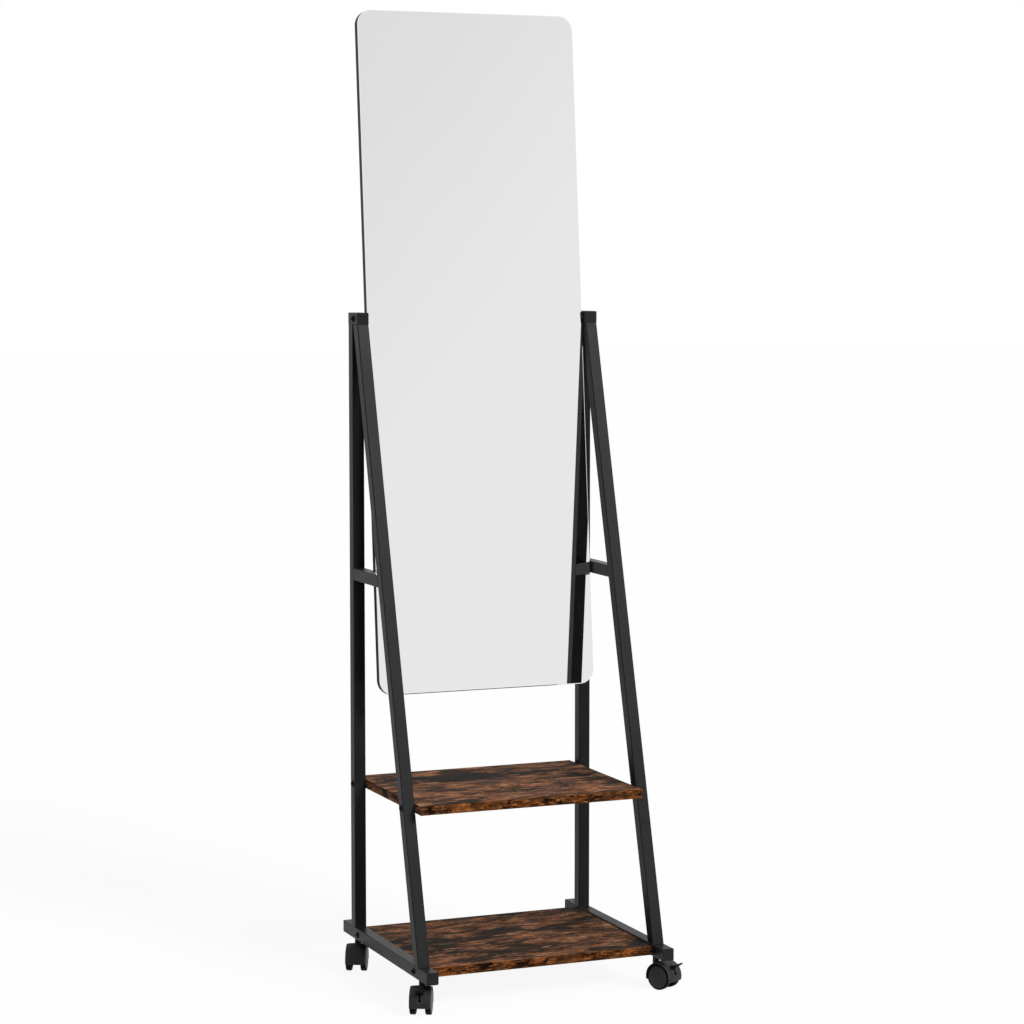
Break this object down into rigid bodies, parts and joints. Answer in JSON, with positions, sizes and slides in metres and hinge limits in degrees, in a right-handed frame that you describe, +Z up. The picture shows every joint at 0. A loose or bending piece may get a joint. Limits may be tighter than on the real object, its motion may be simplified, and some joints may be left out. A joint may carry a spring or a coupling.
{
  "type": "rolling floor mirror",
  "caption": "Full-length tilting floor mirror with rounded corners between two A-shaped square-tube side frames, with two board shelves and twin-wheel casters.",
  "frame": {"origin": "on the floor, under the middle of the object's box", "axes": "+Z up, +Y towards the back, the mirror faces -Y, +X to the right seen from the front"},
  "size_m": [0.4768, 0.3969, 1.5988],
  "materials": {
    "powder_coated_tube": "matt black powder coat",
    "plug_plastic": "matt black moulded",
    "plain_steel": "zinc plated",
    "black_bolt": "black plated",
    "insert_brass": "plain",
    "rustic_wood": "printed rustic brown laminate",
    "mirror_pane": "silvered, polished edge",
    "adhesive": "plain",
    "black_board": "matt black painted board",
    "washer_plastic": "plain nylon",
    "caster_plastic": "fine grained black",
    "wheel_nylon": "smooth black"
  },
  "bodies": {
    "frame": {"left_rail": "powder_coated_tube", "right_rail": "powder_coated_tube", "left_post": "powder_coated_tube", "right_post": "powder_coated_tube", "left_leg": "powder_coated_tube", "right_leg": "powder_coated_tube", "left_crossbar": "powder_coated_tube", "right_crossbar": "powder_coated_tube", "left_block": "powder_coated_tube", "right_block": "powder_coated_tube", "rail_plugs": "plug_plastic", "block_plugs": "plug_plastic", "pivot_sleeves": "plain_steel", "middle_shelf": "rustic_wood", "bottom_shelf": "rustic_wood", "shelf_inserts": "insert_brass", "shelf_bolts": "black_bolt", "weld_nuts": "plain_steel", "caster_stems": "plain_steel"},
    "mirror": {"mirror_glass": "mirror_pane", "adhesive_sheet": "adhesive", "backing_board": "black_board", "pivot_inserts": "insert_brass", "pivot_bolts": "black_bolt", "pivot_washers": "washer_plastic"},
    "front_left_caster": {"front_left_hood": "caster_plastic", "front_left_axle": "plain_steel", "front_left_lever_pin": "plain_steel"},
    "front_left_wheel_a": {"front_left_wheel_a": "wheel_nylon"},
    "front_left_wheel_b": {"front_left_wheel_b": "wheel_nylon"},
    "front_left_lever": {"front_left_lever": "caster_plastic"},
    "front_right_caster": {"front_right_hood": "caster_plastic", "front_right_axle": "plain_steel", "front_right_lever_pin": "plain_steel"},
    "front_right_wheel_a": {"front_right_wheel_a": "wheel_nylon"},
    "front_right_wheel_b": {"front_right_wheel_b": "wheel_nylon"},
    "front_right_lever": {"front_right_lever": "caster_plastic"},
    "rear_left_caster": {"rear_left_hood": "caster_plastic", "rear_left_axle": "plain_steel"},
    "rear_left_wheel_a": {"rear_left_wheel_a": "wheel_nylon"},
    "rear_left_wheel_b": {"rear_left_wheel_b": "wheel_nylon"},
    "rear_right_caster": {"rear_right_hood": "caster_plastic", "rear_right_axle": "plain_steel"},
    "rear_right_wheel_a": {"rear_right_wheel_a": "wheel_nylon"},
    "rear_right_wheel_b": {"rear_right_wheel_b": "wheel_nylon"}
  },
  "joints": [
    {"name": "mirror_tilt", "type": "hinge", "parent": "frame", "child": "mirror", "pos_m": [0, 0.134, 1.092], "axis": [1, 0, 0], "continuous": true},
    {"name": "front_left_swivel", "type": "hinge", "parent": "frame", "child": "front_left_caster", "pos_m": [-0.205, -0.152, 0.04], "axis": [0, 0, 1], "continuous": true},
    {"name": "front_left_wheel_a_spin", "type": "hinge", "parent": "front_left_caster", "child": "front_left_wheel_a", "pos_m": [-0.22436, -0.15996, 0.021], "axis": [0.887, -0.4617, 0], "continuous": true},
    {"name": "front_left_wheel_b_spin", "type": "hinge", "parent": "front_left_caster", "child": "front_left_wheel_b", "pos_m": [-0.20041, -0.17243, 0.021], "axis": [0.887, -0.4617, 0], "continuous": true},
    {"name": "front_left_brake", "type": "hinge", "parent": "front_left_caster", "child": "front_left_lever", "pos_m": [-0.21701, -0.17506, 0.033], "axis": [0.887, -0.4617, 0], "range_deg": [0, 18]},
    {"name": "front_right_swivel", "type": "hinge", "parent": "frame", "child": "front_right_caster", "pos_m": [0.205, -0.152, 0.04], "axis": [0, 0, 1], "continuous": true},
    {"name": "front_right_wheel_a_spin", "type": "hinge", "parent": "front_right_caster", "child": "front_right_wheel_a", "pos_m": [0.20041, -0.17243, 0.021], "axis": [0.887, 0.4617, 0], "continuous": true},
    {"name": "front_right_wheel_b_spin", "type": "hinge", "parent": "front_right_caster", "child": "front_right_wheel_b", "pos_m": [0.22436, -0.15996, 0.021], "axis": [0.887, 0.4617, 0], "continuous": true},
    {"name": "front_right_brake", "type": "hinge", "parent": "front_right_caster", "child": "front_right_lever", "pos_m": [0.21701, -0.17506, 0.033], "axis": [0.887, 0.4617, 0], "range_deg": [0, 18]},
    {"name": "rear_left_swivel", "type": "hinge", "parent": "frame", "child": "rear_left_caster", "pos_m": [-0.205, 0.152, 0.04], "axis": [0, 0, 1], "continuous": true},
    {"name": "rear_left_wheel_a_spin", "type": "hinge", "parent": "rear_left_caster", "child": "rear_left_wheel_a", "pos_m": [-0.22429, 0.14387, 0.021], "axis": [0.891, -0.454, 0], "continuous": true},
    {"name": "rear_left_wheel_b_spin", "type": "hinge", "parent": "rear_left_caster", "child": "rear_left_wheel_b", "pos_m": [-0.20024, 0.13162, 0.021], "axis": [0.891, -0.454, 0], "continuous": true},
    {"name": "rear_right_swivel", "type": "hinge", "parent": "frame", "child": "rear_right_caster", "pos_m": [0.205, 0.152, 0.04], "axis": [0, 0, 1], "continuous": true},
    {"name": "rear_right_wheel_a_spin", "type": "hinge", "parent": "rear_right_caster", "child": "rear_right_wheel_a", "pos_m": [0.20024, 0.13162, 0.021], "axis": [0.891, 0.454, 0], "continuous": true},
    {"name": "rear_right_wheel_b_spin", "type": "hinge", "parent": "rear_right_caster", "child": "rear_right_wheel_b", "pos_m": [0.22429, 0.14387, 0.021], "axis": [0.891, 0.454, 0], "continuous": true}
  ]
}
